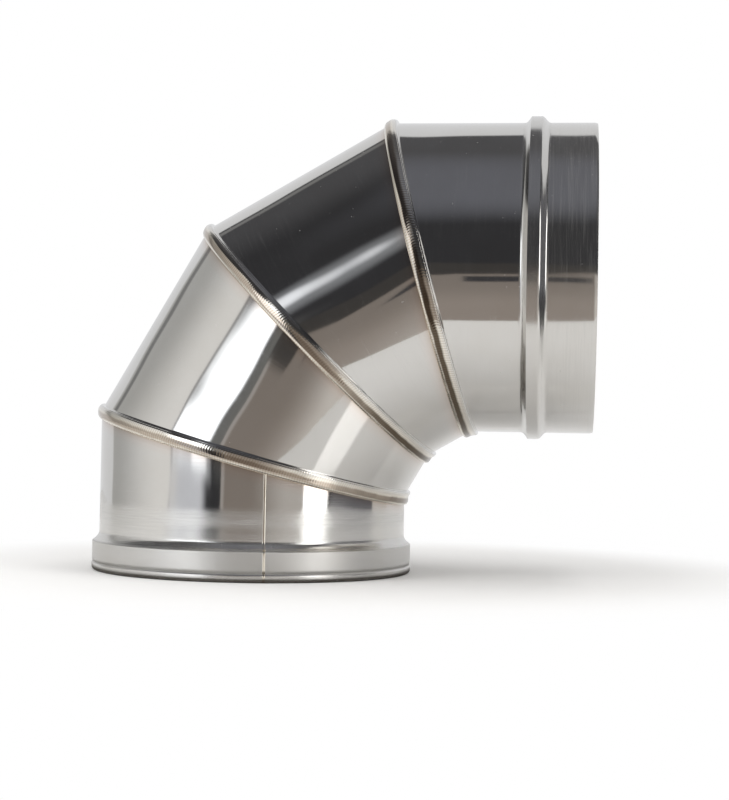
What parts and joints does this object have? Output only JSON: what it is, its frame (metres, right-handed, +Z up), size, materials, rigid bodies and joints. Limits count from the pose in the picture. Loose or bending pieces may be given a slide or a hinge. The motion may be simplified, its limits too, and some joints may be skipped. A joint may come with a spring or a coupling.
{
  "type": "flue elbow",
  "caption": "Right-angle single-wall flue elbow of welded mitred stainless steel segments, with a rolled-lip socket at one end and a beaded spigot at the other.",
  "frame": {"origin": "centre of the socket's mouth, in the plane that its rim stands on", "axes": "+Z up the socket's axis into the elbow, +X along the spigot's axis towards its open end, the bend lies in the XZ plane"},
  "size_m": [0.3282, 0.2104, 0.2998],
  "materials": {
    "bright_sheet": "bright annealed, mirror-like",
    "weld_metal": "rippled, straw to brown heat tint",
    "silicone": "matte silicone"
  },
  "bodies": {
    "root": {"socket_section": "bright_sheet", "lower_gore": "bright_sheet", "upper_gore": "bright_sheet", "spigot_section": "bright_sheet", "socket_section_seam_weld": "weld_metal", "lower_gore_seam_weld": "weld_metal", "upper_gore_seam_weld": "weld_metal", "spigot_section_seam_weld": "weld_metal", "lower_mitre_weld": "weld_metal", "middle_mitre_weld": "weld_metal", "upper_mitre_weld": "weld_metal", "lip_seal": "silicone"}
  },
  "joints": []
}
